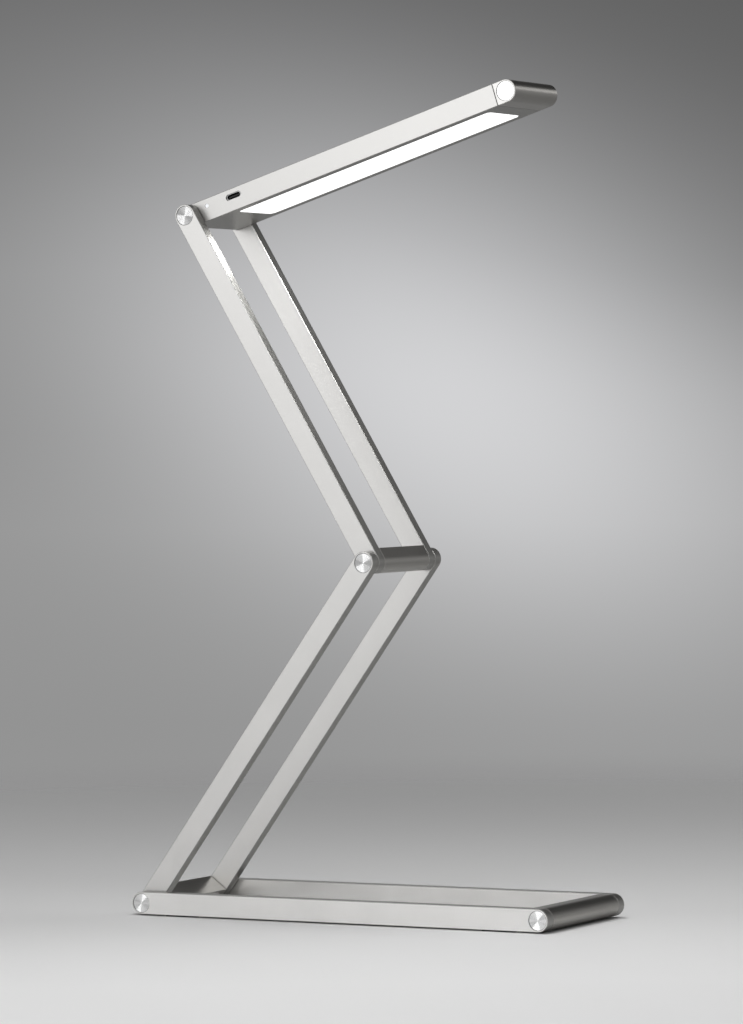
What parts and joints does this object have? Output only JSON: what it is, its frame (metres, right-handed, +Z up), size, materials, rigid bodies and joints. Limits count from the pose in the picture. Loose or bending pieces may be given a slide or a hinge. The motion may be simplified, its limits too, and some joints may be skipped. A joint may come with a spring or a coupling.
{
  "type": "folding desk lamp",
  "caption": "Zig-zag folding desk lamp: nested flat metal frames joined by friction hinges carry a slim light head with a charging socket and a push button.",
  "frame": {"origin": "middle of the base's footprint, on the surface that the rubber feet rest on", "axes": "+X from the base hinge to the base's front crossbar, which is also the way that the head points; +Y to the far side, away from the charging socket and the button; +Z up"},
  "size_m": [0.252, 0.0888, 0.4404],
  "materials": {
    "satin_aluminium": "bead-blasted and clear anodised, brushed crosswise on the round noses",
    "spring_steel": "bare spring steel",
    "screw_steel": "black-oxide steel",
    "turned_aluminium": "face-turned bright, with fine rings",
    "rubber": "matt",
    "acetal": "dark low-friction plastic",
    "brass": "turned",
    "white_plastic": "matt white",
    "black_plastic": "matt black",
    "opal": "opal white, lit from behind",
    "lamp_yellow": "phosphor",
    "light_board": "white solder mask on sheet",
    "film": "amber film",
    "battery_foil": "foil pouch",
    "foam": "foam tape",
    "lead_red": "insulated wire",
    "green_board": "solder mask",
    "shell_steel": "nickel-plated sheet",
    "clear_plastic": "clear, lit from behind"
  },
  "bodies": {
    "base": {"base_bar_near": "satin_aluminium", "base_bar_far": "satin_aluminium", "base_crossbar": "satin_aluminium", "base_dowels": "spring_steel", "base_front_screws": "screw_steel", "base_front_caps": "turned_aluminium", "base_hinge_caps": "turned_aluminium", "rubber_feet": "rubber"},
    "lower_arm": {"lower_arm_bar_near": "satin_aluminium", "lower_arm_bar_far": "satin_aluminium", "lower_arm_crossbar": "satin_aluminium", "lower_arm_dowels": "spring_steel", "elbow_caps": "turned_aluminium", "base_hinge_screws": "screw_steel", "base_hinge_friction_washers": "acetal", "base_hinge_spring_washers": "spring_steel"},
    "upper_arm": {"upper_arm_bar_near": "satin_aluminium", "upper_arm_bar_far": "satin_aluminium", "upper_arm_crossbar": "satin_aluminium", "upper_arm_dowels": "spring_steel", "head_hinge_caps": "turned_aluminium", "elbow_screws": "screw_steel", "elbow_friction_washers": "acetal", "elbow_spring_washers": "spring_steel"},
    "head": {"head_hinge_screws": "screw_steel", "head_hinge_friction_washers": "acetal", "head_hinge_spring_washers": "spring_steel", "head_housing": "satin_aluminium", "head_nose": "satin_aluminium", "head_thread_inserts": "brass", "nose_disc": "turned_aluminium", "button_switch": "black_plastic", "switch_pad": "rubber", "diffuser": "opal", "reflector_tray": "white_plastic", "leds": "lamp_yellow", "led_board": "light_board", "insulator_sheet": "film", "battery": "battery_foil", "battery_tapes": "foam", "battery_leads": "lead_red", "control_board": "green_board", "board_components": "black_plastic", "usb_shell": "shell_steel", "usb_tongue": "black_plastic", "indicator_lens": "clear_plastic", "charge_led": "lamp_yellow", "switch_cable": "film", "led_cable": "film"},
    "button": {"power_button": "turned_aluminium", "button_clip": "spring_steel", "switch_plunger": "white_plastic"}
  },
  "joints": [
    {"name": "base_hinge", "type": "hinge", "parent": "base", "child": "lower_arm", "pos_m": [-0.12, 0, 0.0066], "axis": [0, -1, 0], "range_deg": [-50, 66.6]},
    {"name": "elbow", "type": "hinge", "parent": "lower_arm", "child": "upper_arm", "pos_m": [0.01618, 0, 0.18996], "axis": [0, 1, 0], "range_deg": [-109, 67.4]},
    {"name": "head_hinge", "type": "hinge", "parent": "upper_arm", "child": "head", "pos_m": [-0.09483, 0, 0.37619], "axis": [0, -1, 0], "range_deg": [-76.1, 103.9]},
    {"name": "button_press", "type": "slide", "parent": "head", "child": "button", "axis": [0, 1, 0], "range_m": [0, 0.0005], "stiffness_N_per_m": 3000, "springref_m": -0.0003}
  ]
}
